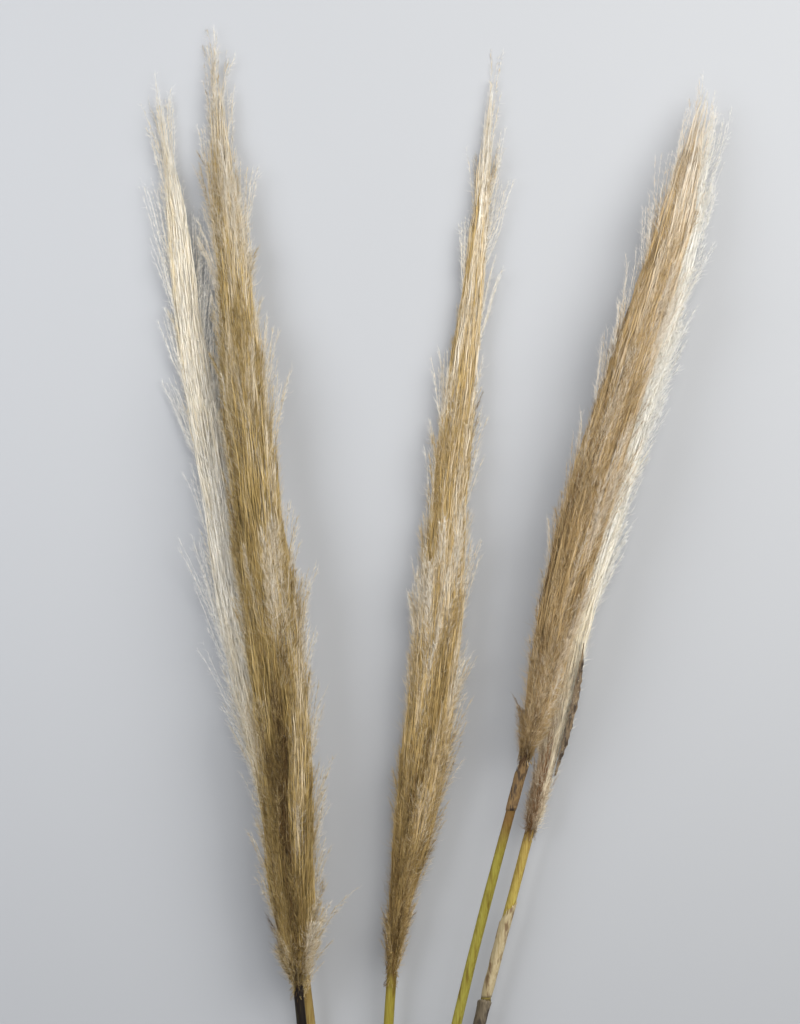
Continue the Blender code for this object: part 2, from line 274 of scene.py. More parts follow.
# Where along a lock its branchlets start to reach the plume's surface, by tier.
SHOWS_FROM = {"low": 0.10, "mid": 0.36, "high": 0.42, "tip": 0.30}
# How dense the hair is on each tier, next to the plume's setting.
TIER_DENSITY = {"low": 1.1, "mid": 1.1, "high": 0.9, "tip": 0.8}

# A lock has at least this many hairs and branchlets, however small it is.
LEAST_HAIRS, LEAST_BRANCHLETS = 900, 10
PER_CM2 = 1e4
# How far the branchlets of the tip tuft may end beyond it.
TIP_PAST = 7 * MM
BRANCHLET_STEPS = 8
# How far a branchlet wanders sideways on its way, and how far it ends off its line.
SWAY, DRIFT = math.radians(8), math.radians(14)
HUSK_LENGTH = (4 * MM, 8 * MM)
HUSK_WIDTH = (0.3 * MM, 0.6 * MM)
HUSK_LEAN = (math.radians(5), math.radians(18))
# Frizz is the short fine down between the long hairs. Its length and width are shares of theirs.
FRIZZ_SHARE = 0.66
FRIZZ_LEAN = (math.radians(14), math.radians(60))
FRIZZ_LENGTH = (0.4, 1.0)
FRIZZ_WIDTH = 0.75
# Hairs past this share of the draw are wild, and lean this many times as far.
WILD_FROM, WILD_LEAN = 0.92, 2.3
MOST_LEAN = math.radians(62)
# Hairs shorter than this share of the mean are straight, and the longer ones bend.
STRAIGHT_UP_TO = 0.95
# The inner branchlets that fill a lock: their share of the hair count, length, width and place.
INNER_SHARE = 0.09
INNER_LENGTH = (34 * MM, 60 * MM)
INNER_WIDTH = (0.7 * MM, 1.2 * MM)
INNER_PLACE = (0.2, 0.74)
# How far under the plume's surface a side branch may end.
SKIN_DEPTH = (0.5 * MM, 7.0 * MM)
# How far the tips of a side branch stand out, of one that stands clear and of one that lies close.
FLARE_CLEAR, FLARE_CLOSE = (2 * MM, 9 * MM), (0, 2.5 * MM)
# Side branches turn by this share of a lock from one to the next, so that they spread evenly.
GOLDEN_SHARE = 0.618
# A side branch carries this many branchlets, which end within these distances of one another.
CLUMP_BRANCHLETS = 6
CLUMP_WIDTH = 4.5 * MM
CLUMP_LENGTH = 11 * MM
# Hairs that a branchlet of the beard and one of a wisp carry.
BEARD_HAIRS, WISP_HAIRS = 36, 80
# A wisp is a fan of branchlets, each reaching this share of the way out.
WISP_REACH = (1.0, 0.75, 0.5, 0.3)
# The share of a plume where its close hair starts to thin out into a feathery tip.
FEATHERY_FROM = 0.70
# Nothing comes closer to the surface that the bundle lies on than this.
FLOOR_GAP = 0.3 * MM

# Soft studio lamps: (name, place, width, watts, colour). They all aim at the lit point.
LAMPS = (
    ("overhead", (0.30, 0.80, 1.45), 1.3, 14.4, "#fffdf8"),
    ("right", (1.15, 0.72, 1.1), 1.2, 21.0, "#fffdf8"),
    ("left", (-1.1, 0.5, 1.0), 1.0, 13.0, "#fafcff"),
)
LIT_POINT = Vector((0, 0.2, 0))
FLOOR_HALF = 15.0
# The camera looks straight down, and its view is this tall at the plumes' mean height.
CAMERA_PLACE = (-0.0296, 0.172, 4.0)
VIEW_HEIGHT = 0.8192
PLUME_HEIGHT = 0.025


# ---------------------------------------------------------------- reading the frame

def node_mesh(name):
    """A CAD node's points and edges."""
    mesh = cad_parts[name].data
    points = np.empty(3 * len(mesh.vertices), np.float32)
    mesh.vertices.foreach_get("co", points)
    edges = np.empty(2 * len(mesh.edges), np.int32)
    mesh.edges.foreach_get("vertices", edges)
    return points.reshape(-1, 3).astype(float), edges.reshape(-1, 2)


def slice_at(mesh, y):
    """(x, z) of each point where an edge of the mesh passes through this y."""
    points, edges = mesh
    a, b = points[edges[:, 0]], points[edges[:, 1]]
    through = (a[:, 1] - y) * (b[:, 1] - y) < 0
    a, b = a[through], b[through]
    t = (y - a[:, 1]) / (b[:, 1] - a[:, 1])
    return (a + t[:, None] * (b - a))[:, [0, 2]]


def smooth_step(t):
    t = np.clip(t, 0, 1)
    return t * t * (3 - 2 * t)


def unit(vectors):
    return vectors / np.maximum(np.linalg.norm(vectors, axis=-1, keepdims=True), 1e-12)


def running_mean(rows, count):
    """Each row as the mean of this odd number of rows round it, with the end rows repeated."""
    rows = np.array(rows)
    half = count // 2
    padded = np.concatenate([rows[:1].repeat(half, 0), rows, rows[-1:].repeat(half, 0)])
    return sum(padded[i : i + len(rows)] for i in range(count)) / count


class PlumeShape:
    """A plume's centre line and its half width and half height, measured on its locks."""

    STATIONS = 96
    BEYOND = 80 * MM

    def __init__(self, stalk):
        start = f"plume_{stalk}_"
        self.locks = sorted(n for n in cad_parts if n.startswith(start))
        self.tiers = [n[len(start) :].split("_")[0] for n in self.locks]
        meshes = [node_mesh(n) for n in self.locks]
        self.neck = min(points[:, 1].min() for points, _ in meshes)
        self.tip = max(points[:, 1].max() for points, _ in meshes)
        y = np.linspace(self.neck + MM, self.tip - MM, self.STATIONS)
        boxes = []
        for at in y:
            cut = np.concatenate([slice_at(mesh, at) for mesh in meshes])
            boxes.append((*(cut.max(0) + cut.min(0)) / 2, *(cut.max(0) - cut.min(0)) / 2))
        # This takes out the small steps where one tier of locks gives way to the next.
        boxes = running_mean(boxes, 5)
        # The centre line runs straight on past both ends, for what stands out there.
        ends = []
        for near, far, way in ((0, 3, -1), (-1, -4, 1)):
            slope = (boxes[near, :2] - boxes[far, :2]) / (y[near] - y[far])
            ends.append((*(boxes[near, :2] + slope * way * self.BEYOND), *boxes[near, 2:]))
        self.y = np.concatenate([[y[0] - self.BEYOND], y, [y[-1] + self.BEYOND]])
        self.boxes = np.concatenate([[ends[0]], boxes, [ends[1]]])
        self.lock_meshes = meshes

    def at(self, y):
        """Centre x, centre z, half width and half height at y."""
        return [np.interp(y, self.y, column) for column in self.boxes.T]

    def share(self, y):
        return (y - self.neck) / (self.tip - self.neck)

    def y_at(self, share):
        return self.neck + share * (self.tip - self.neck)

    def place(self, y, rho, turn):
        """Points at these y, rho from the centre line (1 on the surface), turned from +X towards +Z."""
        x, z, wide, high = self.at(y)
        return np.stack([x + wide * rho * np.cos(turn), y, z + high * rho * np.sin(turn)], -1)

    def outward(self, points):
        """Unit normals of the plume's oval at these points."""
        x, z, wide, high = self.at(points[..., 1])
        return unit(
            np.stack(
                [(points[..., 0] - x) / wide**2, np.zeros_like(x), (points[..., 2] - z) / high**2], -1
            )
        )

    def sector(self, number):
        """(middle, half) of the turn that a lock takes up, in radians."""
        count = self.tiers.count(self.tiers[number])
        points = self.lock_meshes[number][0]
        x, z, wide, high = self.at(points[:, 1])
        middle = math.atan2(((points[:, 2] - z) / high).mean(), ((points[:, 0] - x) / wide).mean())
        return middle, math.pi / count

    def span(self, number):
        y = self.lock_meshes[number][0][:, 1]
        return y.min(), y.max()


# ---------------------------------------------------------------- strands

class Strands:
    """Gathers closed three-sided spikes, and makes one mesh of them."""

    SIDES = 3
    MAP_HALF_WIDTH = 0.004

    def __init__(self):
        self.points, self.triangles, self.maps, self.count = [], [], [], 0

    def add(self, paths, widths, tones, rng):
        """paths (strands, steps, 3), widths (strands, steps) at each step but the last, which is a point."""
        strands, steps = paths.shape[:2]
        if strands == 0:
            return
        paths = paths.copy()
        paths[..., 2] = np.maximum(paths[..., 2], FLOOR_GAP + widths / 2)
        along = unit(np.gradient(paths, axis=1))
        across = unit(np.cross(along, unit(rng.normal(size=(strands, 1, 3)))))
        over = np.cross(along, across)
        angle = TAU * np.arange(self.SIDES) / self.SIDES
        ring = (
            np.cos(angle)[:, None] * across[:, :-1, None] + np.sin(angle)[:, None] * over[:, :-1, None]
        )
        rings = paths[:, :-1, None] + ring * widths[:, :-1, None, None] / 2
        points = np.concatenate([rings.reshape(strands, -1, 3), paths[:, -1:]], 1)
        triangles, flat = self.template(steps)
        per_strand = points.shape[1]
        offsets = self.count + per_strand * np.arange(strands)
        self.triangles.append((triangles[None] + offsets[:, None, None]).reshape(-1, 3))
        maps = np.repeat(flat[None], strands, 0)
        maps[..., 1] = np.clip(
            tones[:, None, None] + maps[..., 1] * self.MAP_HALF_WIDTH,
            self.MAP_HALF_WIDTH / 2,
            1 - self.MAP_HALF_WIDTH / 2,
        )
        self.maps.append(maps.reshape(-1, 2))
        self.points.append(points.reshape(-1, 3))
        self.count += strands * per_strand

    def template(self, steps):
        """One strand's triangles, and each corner's place on the map: share along it, and side."""
        sides, last = self.SIDES, (steps - 1) * self.SIDES
        triangles, flat = [(0, 2, 1)], [((0, -1), (0.02, -1), (0.01, 1))]
        for step in range(steps - 2):
            low, high = step / (steps - 1), (step + 1) / (steps - 1)
            for side in range(sides):
                a, b = step * sides + side, step * sides + (side + 1) % sides
                triangles += [(a, b, b + sides), (a, b + sides, a + sides)]
                flat += [((low, -1), (low, 1), (high, 1)), ((low, -1), (high, 1), (high, -1))]
        low = (steps - 2) / (steps - 1)
        for side in range(sides):
            a, b = last - sides + side, last - sides + (side + 1) % sides
            triangles.append((a, b, last))
            flat.append(((low, -1), (low, 1), (1, 0)))
        return np.array(triangles), np.array(flat, float)

    def object(self, name, material):
        return mesh_piece(
            name,
            np.concatenate(self.points),
            np.concatenate(self.triangles),
            material,
            np.concatenate(self.maps),
        )


def mesh_piece(name, points, triangles, material, corner_maps=None):
    """A smooth-shaded mesh of triangles, or of quads, as an object that rides on the bundle."""
    corners = triangles.shape[1]
    mesh = bpy.data.meshes.new(name)
    mesh.vertices.add(len(points))
    mesh.vertices.foreach_set("co", points.astype(np.float32).ravel())
    mesh.loops.add(triangles.size)
    mesh.loops.foreach_set("vertex_index", triangles.astype(np.int32).ravel())
    mesh.polygons.add(len(triangles))
    mesh.polygons.foreach_set("loop_start", np.arange(0, triangles.size, corners, dtype=np.int32))
    mesh.update(calc_edges=True)
    mesh.shade_smooth()
    if corner_maps is not None:
        layer = mesh.uv_layers.new(name=STRAND_MAP)
        layer.uv.foreach_set("vector", corner_maps.astype(np.float32).ravel())
    mesh.materials.append(material)
    piece = bpy.data.objects.new(name, mesh)
    bpy.context.scene.collection.objects.link(piece)
    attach(piece, BODY)
    return piece


# ---------------------------------------------------------------- growing a lock

def tone_at(looks, shape, points, turn):
    """The mean tone of the hair at these places of a plume."""
    share = shape.share(points[..., 1])
    # The right side is painted paler and the left side darker, partly as painted light from the right.
    tone = np.interp(share, *zip(*looks["tone"])) + looks["right"] * np.cos(turn)
    depth, end = looks["streak"]
    from_top = (np.mod(turn - UP - math.radians(6) + math.pi, TAU) - math.pi) / math.radians(15)
    tone = tone - depth * np.exp(-from_top**2) * np.clip(1.25 * (1 - share / end), 0, 1)
    # Long streaks, darker and paler in turn: painted shade where the side branches lie further apart and
    # the depths between them show, and paler where they lie closer.
    patches = sum(
        np.sin(TAU * points[..., 1] / (long * MM) + around * turn + 2.1 * around)
        for long, around in ((170, 5), (95, -7), (240, 3), (70, 9))
    )
    return tone + 0.32 * looks["mottle"] * patches


def feathery(shape, y):
    """How feathery the plume is at y: 0 over its body, 1 at its very tip."""
    return smooth_step((shape.share(y) - FEATHERY_FROM) / (1 - FEATHERY_FROM))


def branchlet_paths(shape, root, tip, turn, reach, flare, rng):
    """Each branchlet leaves the spine, sweeps out to `reach` at its tip and ends `flare` metres further."""
    t = np.linspace(0, 1, BRANCHLET_STEPS)[None]
    y = root[:, None] + (tip - root)[:, None] * t
    _, _, wide, high = shape.at(y)
    size = np.sqrt(wide * high)
    sweep = 0.62 * smooth_step(t / 0.62) + 0.38 * t**1.6
    rho = 0.12 + (reach[:, None] - 0.12) * sweep + flare[:, None] / size * t**3.4
    sway = rng.normal(0, SWAY, (len(root), 1)) * np.sin(math.pi * t)
    drift = rng.normal(0, DRIFT, (len(root), 1)) * t
    return shape.place(y, rho, turn[:, None] + sway + drift)


def hairs_on(paths, which, t, lean, azimuth, length, shape, rng):
    """Three-point hairs that leave their branchlets at t, lean out and curve back along them."""
    steps = paths.shape[1] - 1
    step = np.minimum((t * steps).astype(int), steps - 1)
    part = (t * steps - step)[:, None]
    low, high = paths[which, step], paths[which, step + 1]
    root = low + part * (high - low)
    along = unit(high - low)
    out = shape.outward(root)
    out = unit(out - along * (out * along).sum(-1, keepdims=True))
    side = np.cross(along, out)
    away = np.cos(azimuth)[:, None] * out + np.sin(azimuth)[:, None] * side
    first = np.cos(1.3 * lean)[:, None] * along + np.sin(1.3 * lean)[:, None] * away
    bend = (0.65 * lean + rng.normal(0, math.radians(10), len(t)))[:, None]
    second = np.cos(bend) * along + np.sin(bend) * away + rng.normal(0, 0.17, (len(t), 3))
    middle = root + first * length[:, None] * 0.5
    return np.stack([root, middle, middle + unit(second) * length[:, None] * 0.5], 1)


def surface_area(shape, low, high):
    """Area of the plume's surface between two y."""
    y = np.linspace(low, high, 24)
    _, _, wide, tall = shape.at(y)
    around = math.pi * (3 * (wide + tall) - np.sqrt((3 * wide + tall) * (wide + 3 * tall)))
    return around.mean() * (high - low)


def grow_branchlets(strands, shape, sizes, paths, tones, hair_count, spread, rng):
    """The branchlets' own stalks with their spikelets, and the silky hairs. `spread` scales the hairs'
    lean and length, for all branchlets or for each."""
    count = len(paths)
    spread = np.broadcast_to(spread, count)
    share = np.linspace(0, 1, BRANCHLET_STEPS)
    loose = feathery(shape, paths[:, -1, 1])
    widths = sizes.branchlet_width * (1 - 0.75 * share)[None] * (1 - 0.5 * loose)[:, None]
    strands.add(paths, widths, np.clip(tones - 0.06 - 0.2 * loose, 0.03, 0.9), rng)

    husks = count * sizes.spikelets_per_branchlet
    which = rng.integers(0, count, husks)
    t = rng.uniform(0.35, 0.97, husks)
    lean = rng.uniform(*HUSK_LEAN, husks)
    azimuth = rng.uniform(-math.pi, math.pi, husks)
    length = rng.uniform(*HUSK_LENGTH, husks) * spread[which]
    paths_of_husks = hairs_on(paths, which, t, lean, azimuth, length, shape, rng)
    widths = (rng.uniform(*HUSK_WIDTH, husks) * spread[which])[:, None] * np.array([[0.4, 1, 0]])
    tone = tones[which] - rng.uniform(0.02, 0.18, husks) - 0.12 * loose[which]
    strands.add(paths_of_husks, widths, np.clip(tone, 0.03, 0.9), rng)

    which = rng.integers(0, count, hair_count)
    # A slender branchlet carries fewer hairs.
    which = which[rng.random(hair_count) < 0.35 + 0.65 * spread[which]]
    hairs = len(which)
    t = 0.14 + 0.86 * rng.random(hairs) ** 0.8
    loose = loose[which]
    # Towards the tip of its branchlet the hair is shorter and lies closer, so each ends in a point.
    slim = 1 - 0.45 * t**3
    # It bristles near the neck and at the feathery tip, and lies closest in between.
    bristle = 1.1 * smooth_step(1 - shape.share(paths[which, -1, 1]) / 0.5) + 1.3 * loose
    lean = sizes.hair_lean * rng.lognormal(0, 0.5, hairs) * spread[which] * (1 + bristle)
    lean = lean * np.where(loose > 0.1, 1, slim)
    azimuth = rng.normal(0, math.radians(62), hairs)
    _, _, wide, _ = shape.at(paths[which, -1, 1])
    room = np.clip(wide / (16 * MM), 0.7, 1) * (1 - 0.15 * loose) * spread[which]
    length = sizes.hair_length * rng.uniform(0.5, 1.4, hairs)
    # Frizz stands out every way.
    kind = rng.random(hairs)
    frizz = kind < FRIZZ_SHARE
    lean = np.where(kind > WILD_FROM, WILD_LEAN * lean, lean)
    lean = np.clip(np.where(frizz, rng.uniform(*FRIZZ_LEAN, hairs), lean), 0, MOST_LEAN)
    azimuth = np.where(frizz, azimuth * 1.25, azimuth)
    straight = frizz | (length < STRAIGHT_UP_TO * sizes.hair_length)
    length = np.where(frizz, rng.uniform(*FRIZZ_LENGTH, hairs) * sizes.hair_length, length) * room * slim
    spikes = hairs_on(paths, which, t, lean, azimuth, length, shape, rng)
    widths = sizes.hair_width * rng.uniform(0.65, 1.15, hairs) * (1 - 0.3 * loose)
    widths = widths * np.where(frizz, FRIZZ_WIDTH, 1)
    tone = tones[which] + 0.10 * (t - 0.5) + 0.14 * loose + 0.04 * frizz
    tone = tone + rng.normal(0, 1, hairs) * np.where(frizz, 0.1, 0.028)
    tone = np.clip(tone, 0.04, 0.97)
    strands.add(
        spikes[straight][:, ::2], widths[straight, None] * np.array([[1.0, 0]]), tone[straight], rng
    )
    bent = ~straight
    strands.add(spikes[bent], widths[bent, None] * np.array([[1, 0.72, 0]]), tone[bent], rng)


def grow_inner(strands, shape, looks, span, sector, inner, rng):
    """Inner branchlets fill the lock between the spine and its hair, so that the floor never shows."""
    low, high = span
    middle, half = sector
    y = rng.uniform(low, high - 0.12 * (high - low), inner)
    loose = feathery(shape, y)
    kept = rng.random(inner) > 1.2 * loose
    y, loose = y[kept], loose[kept]
    inner = len(y)
    turn = middle + half * rng.uniform(-1, 1, inner)
    long = np.minimum(rng.uniform(*INNER_LENGTH, inner), high - y)
    steps = np.linspace(0, 1, 4)[None]
    rho = rng.uniform(*INNER_PLACE, inner)[:, None] * (1 - 0.3 * loose)[:, None] + 0.1 * steps
    paths = shape.place(y[:, None] + long[:, None] * steps, rho, turn[:, None] + 0 * steps)
    paths += rng.normal(0, 0.7 * MM, paths.shape) * [1, 0, 1]
    widths = rng.uniform(*INNER_WIDTH, inner)[:, None] * np.array([[0.5, 1, 0.8, 0]])
    widths = widths * (1 - 0.65 * loose)[:, None]
    # The inner branchlets are painted darker, as painted shade deep inside the lock.
    tone = tone_at(looks, shape, paths[:, 1], turn) - 0.16 * (1 - loose) + rng.normal(0, 0.03, inner)
    strands.add(paths, widths, np.clip(tone, 0.02, 0.9), rng)


def grow_outer(strands, shape, looks, sizes, span, shows, sector, past, hair_count, rng):
    """Outer branchlets, with the hair that shows. They stand in clumps, one to each side branch, and end
    up to `past` metres beyond the lock."""
    low, high = span
    middle, half = sector
    count = max(hair_count // sizes.hairs_per_branchlet, LEAST_BRANCHLETS)
    clumps = max(count // CLUMP_BRANCHLETS, 3)
    order = np.arange(clumps)
    clump_y = shows + (high - shows) * (order + rng.random(clumps)) / clumps
    clump_turn = middle + half * (2 * np.mod(order * GOLDEN_SHARE + rng.random(), 1) - 1)
    clump_tone = 0.7 * looks["mottle"] * np.clip(rng.normal(0, 1, clumps), -1.6, 0.8)
    clump_skin = rng.uniform(*SKIN_DEPTH, clumps)
    stands_out = rng.random(clumps) < 0.5
    clump_flare = np.where(
        stands_out, rng.uniform(*FLARE_CLEAR, clumps), rng.uniform(*FLARE_CLOSE, clumps)
    )
    of_clump = rng.integers(0, clumps, count)
    tip = clump_y[of_clump] + rng.normal(0, CLUMP_LENGTH, count)
    tip = np.clip(tip, low + 12 * MM, high + past - rng.uniform(0, 10 * MM, count))
    run = rng.uniform(sizes.branchlet_least, sizes.branchlet_most, count)
    root = np.maximum(tip - run, low)
    _, _, wide, tall = shape.at(tip)
    size = np.sqrt(wide * tall)
    turn = clump_turn[of_clump] + rng.normal(0, 1, count) * np.minimum(CLUMP_WIDTH / size, 1.2)
    skin = clump_skin[of_clump] + rng.uniform(0, 2.5 * MM, count)
    loose = feathery(shape, tip)
    reach = np.clip(1 - skin / size, 0.2, 1) + 0.5 * loose * rng.random(count)
    flare = clump_flare[of_clump] + loose * rng.uniform(0, 5 * MM, count)
    flare = flare * np.where(np.sin(turn) > 0.5, 0.3, 1.0)
    flare = flare * (0.3 + 0.7 * smooth_step(shape.share(tip) / 0.15))
    paths = branchlet_paths(shape, root, tip, turn, reach, flare, rng)
    tones = tone_at(looks, shape, paths[:, -3], turn) + clump_tone[of_clump] + rng.normal(0, 0.03, count)
    # Clumps that stand clear are painted a little paler, as painted light, and branchlets that end deeper
    # under the surface darker, as painted shade.
    tones = tones + 0.05 * stands_out[of_clump] - 0.20 * (skin - SKIN_DEPTH[0]) / SKIN_DEPTH[1]
    slender = np.where(flare > 3 * MM, 0.85, 1.0)
    grow_branchlets(strands, shape, sizes, paths, tones, hair_count, slender, rng)


def grow_beard(strands, shape, looks, sizes, sector, rng):
    """A beard of short branchlets that grows on round the stem, below the neck."""
    middle, half = sector
    beard = 12 + looks["beard"]
    root = shape.neck + rng.uniform(-looks["beard"], 8, beard) * MM
    tip = root + rng.uniform(24, 48, beard) * MM
    turn = middle + half * rng.uniform(-1, 1, beard)
    flare = rng.uniform(0.5, 4, beard) * MM
    paths = branchlet_paths(shape, root, tip, turn, np.full(beard, 1.0), flare, rng)
    paths[:, 0] = shape.place(root, 0.9, turn)
    tones = tone_at(looks, shape, paths[:, 1], turn) + rng.normal(0.0, 0.08, beard)
    grow_branchlets(strands, shape, sizes, paths, tones, BEARD_HAIRS * beard, 0.7, rng)


def grow_wisps(strands, shape, looks, sizes, span, sector, rng):
    """The wisps that stand clear of the plume on this lock's part of it."""
    first, last = span
    middle, half = sector
    mine = [
        wisp
        for wisp in looks["wisps"]
        if first < shape.y_at(wisp[0]) <= last and abs(math.remainder(wisp[1] - middle, TAU)) <= half
    ]
    for share, side, out, long in mine:
        stray = len(WISP_REACH)
        tip = shape.y_at(share) + rng.uniform(-14, 6, stray) * MM
        clear = out * MM * np.array(WISP_REACH)
        _, _, wide, tall = shape.at(tip)
        root = tip - long * MM * rng.uniform(0.8, 1.1, stray)
        turn = side + rng.normal(0, math.radians(8), stray)
        reach = 0.9 + 0.5 * clear / np.sqrt(wide * tall)
        paths = branchlet_paths(shape, root, tip, turn, reach, 0.5 * clear, rng)
        tones = np.interp(share, *zip(*looks["tone"])) + 0.12 + rng.normal(0, 0.06, stray)
        grow_branchlets(strands, shape, sizes, paths, tones, WISP_HAIRS * stray, 0.7, rng)


def grow_lock(shape, number, looks, sizes, name, material, rng):
    """One lock's branchlets and hair, as one piece that stands for its CAD node."""
    tier = shape.tiers[number]
    low, high = shape.span(number)
    sector = shape.sector(number)
    shows = low + SHOWS_FROM[tier] * (high - low)
    around = 2 * sector[1] / TAU
    hair_count = int(surface_area(shape, shows, high) * around * sizes.hairs_per_cm2 * PER_CM2)
    hair_count = int(max(hair_count, LEAST_HAIRS) * TIER_DENSITY[tier])
    past = TIP_PAST if tier == "tip" else 0.0
    strands = Strands()
    grow_inner(strands, shape, looks, (low, high), sector, int(hair_count * INNER_SHARE), rng)
    grow_outer(strands, shape, looks, sizes, (low, high), shows, sector, past, hair_count, rng)
    if tier == "low":
        grow_beard(strands, shape, looks, sizes, sector, rng)
    first = low if tier == "low" else shows
    grow_wisps(strands, shape, looks, sizes, (first, high), sector, rng)
    piece = strands.object(name, material)
    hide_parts(shape.locks[number])
    return piece


# ---------------------------------------------------------------- stems, sheaths and leaf

class StemLine:
    """A stem's centre line and radius, measured on the rings of its CAD node."""

    def __init__(self, stalk):
        points = node_mesh(f"stem_{stalk}")[0]
        points = points[np.argsort(points[:, 1])]
        rings = np.split(points, np.flatnonzero(np.diff(points[:, 1]) > RING_GAP) + 1)
        self.centres = np.array([(ring.max(0) + ring.min(0)) / 2 for ring in rings])
        self.radii = np.array(
            [np.linalg.norm(ring - centre, axis=1).mean() for ring, centre in zip(rings, self.centres)]
        )
        self.y = self.centres[:, 1]
        bulge = self.radii[1:-1] - (self.radii[:-2] + self.radii[2:]) / 2
        self.joints = self.y[1:-1][bulge > JOINT_BULGE]

    def place(self, y):
        return np.stack(
            [np.interp(y, self.y, self.centres[:, 0]), y, np.interp(y, self.y, self.centres[:, 2])], -1
        )

    def radius(self, y):
        return np.interp(y, self.y, self.radii)

    def tube(self, y, turn, out):
        """Points round the stem: `out` metres off its surface, turned from +X towards +Z."""
        points = self.place(y)
        points[..., 0] += (self.radius(y) + out) * np.cos(turn)
        points[..., 2] += (self.radius(y) + out) * np.sin(turn)
        return points


def grid_quads(rows, columns, closed):
    """Quads of a grid of points, and each corner's (row, column). A closed grid joins its last column."""
    spans = columns if closed else columns - 1
    row, column = np.divmod(np.arange((rows - 1) * spans), spans)
    corners = np.stack(
        [
            np.stack([row, column], -1),
            np.stack([row, column + 1], -1),
            np.stack([row + 1, column + 1], -1),
            np.stack([row + 1, column], -1),
        ],
        1,
    )
    return corners[..., 0] * columns + corners[..., 1] % columns, corners


def halved(quads):
    """Each quad, or each quad's places on the map, as two triangles."""
    return np.concatenate([quads[:, [0, 1, 2]], quads[:, [0, 2, 3]]])


def waves(values, lengths, rng):
    """A smooth wander of about -1 to 1 over these values, made of sine waves of these lengths."""
    return sum(
        np.sin(TAU * values / length + rng.uniform(0, TAU)) * rng.uniform(0.6, 1.0) for length in lengths
    ) / len(lengths)


def make_culm(stalk, material, rng):
    """The stem as a ribbed reed with a groove over each joint, a cut hollow end and a pith inside."""
    line = StemLine(stalk)
    fine = [np.linspace(joint - 9 * MM, joint + 9 * MM, 37) for joint in line.joints]
    y = np.unique(np.concatenate([np.arange(line.y[0], line.y[-1], STEM_STEP), line.y[-1:], *fine]))
    y = y[np.diff(y, prepend=-1.0) > LEAST_STEP]
    turn = TAU * np.arange(STEM_SIDES) / STEM_SIDES
    y_grid, turn_grid = np.meshgrid(y, turn, indexing="ij")
    radius = line.radius(y_grid)
    ribs = 0.018 * np.cos(9 * turn_grid + waves(y_grid, (0.31, 0.17), rng))
    oval = 0.035 * np.cos(2 * turn_grid + 2 * waves(y_grid, (0.5, 0.23), rng))
    lumps = 0.012 * waves(y_grid + 0.004 * np.sin(3 * turn_grid), (0.061, 0.023, 0.011), rng)
    out = radius * (ribs + oval + lumps)
    for joint in line.joints:
        above = (y_grid - joint - 2.2 * MM) / (0.8 * MM)
        lip = (y_grid - joint) / (1.4 * MM)
        out = out - 0.30 * MM * np.exp(-above**2) + 0.16 * MM * np.exp(-lip**2)
    points = line.tube(y_grid, turn_grid, out)
    points[..., 2] = np.maximum(points[..., 2], FLOOR_GAP)
    rows = [points[::-1].reshape(-1, 3)]
    centre = line.place(line.y[:1])[0]
    for share, depth in CUT_END:
        ring = centre + (points[0] - centre) * [share, 0, share]
        ring[:, 1] = centre[1] + depth * MM + 0.15 * MM * np.sin(5 * turn + 9 * share)
        rows.append(ring)
    all_points = np.concatenate(rows)
    end_rows = len(CUT_END)
    quads, corners = grid_quads(len(y) + end_rows, STEM_SIDES, closed=True)
    # The sides take most of the map, and the cut end a strip of its own.
    row, column = corners[..., 0], corners[..., 1]
    on_side = row[:, 2] < len(y)
    along = np.concatenate([(y[::-1] - y[0]) / (y[-1] - y[0]), np.zeros(end_rows)])
    maps = np.stack([along[row], column / STEM_SIDES * 0.9], -1)
    end_share = np.clip((row - (len(y) - 1)) / end_rows, 0, 1)
    maps[~on_side] = np.stack([0.5 + 0.4 * end_share, 0.92 + column / STEM_SIDES * 0.07], -1)[~on_side]
    # Close the pith, and the far end inside the plume, each with a fan.
    fans, fan_maps, tips = [], [], []
    for ring_start, order, place in (
        (0, 1, line.place(line.y[-1:])[0] + [0, 1.5 * MM, 0]),
        (len(all_points) - STEM_SIDES, -1, centre + [0, PITH_DEPTH, 0]),
    ):
        tips.append(place)
        tip = len(all_points) + len(tips) - 1
        for side in range(STEM_SIDES):
            pair = (ring_start + side, ring_start + (side + 1) % STEM_SIDES)
            fans.append((tip, *pair[::-order]))
            v = 0.92 + side / STEM_SIDES * 0.07
            fan_maps.append(((0.95, v), (0.91, v), (0.91, v + 0.07 / STEM_SIDES)))
    piece = mesh_piece(
        f"culm_{stalk}",
        np.concatenate([all_points, tips]),
        np.concatenate([halved(quads), fans]),
        material,
        np.concatenate([halved(maps), fan_maps]),
    )
    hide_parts(f"stem_{stalk}")
    return piece


def sheet_piece(name, outer, inner, material):
    """A thin closed sheet between two grids of points, open along both long edges."""
    rows, columns = outer.shape[:2]
    ring = np.concatenate([outer, inner[:, ::-1]], 1)
    quads, corners = grid_quads(rows, 2 * columns, closed=True)
    maps = corners / [rows - 1, 2 * columns]
    maps[..., 1] *= 0.94
    # Both ends are closed by the strips between the two faces of the sheet.
    caps, cap_maps = [], []
    for row, way in ((0, -1), (rows - 1, 1)):
        for column in range(columns - 1):
            a = row * 2 * columns + column
            b = row * 2 * columns + 2 * columns - 1 - column
            u = column / columns
            v = 0.95 if row == 0 else 0.975
            quad = (a, a + 1, b - 1, b)[::way]
            u_end, v_end = u + 0.8 / columns, v + 0.02
            quad_map = ((u, v), (u_end, v), (u_end, v_end), (u, v_end))[::way]
            caps += [quad[:3], (quad[0], quad[2], quad[3])]
            cap_maps += [quad_map[:3], (quad_map[0], quad_map[2], quad_map[3])]
    return mesh_piece(
        name,
        ring.reshape(-1, 3),
        np.concatenate([halved(quads), caps])[:, ::-1],
        material,
        np.concatenate([halved(maps), cap_maps])[:, ::-1],
    )


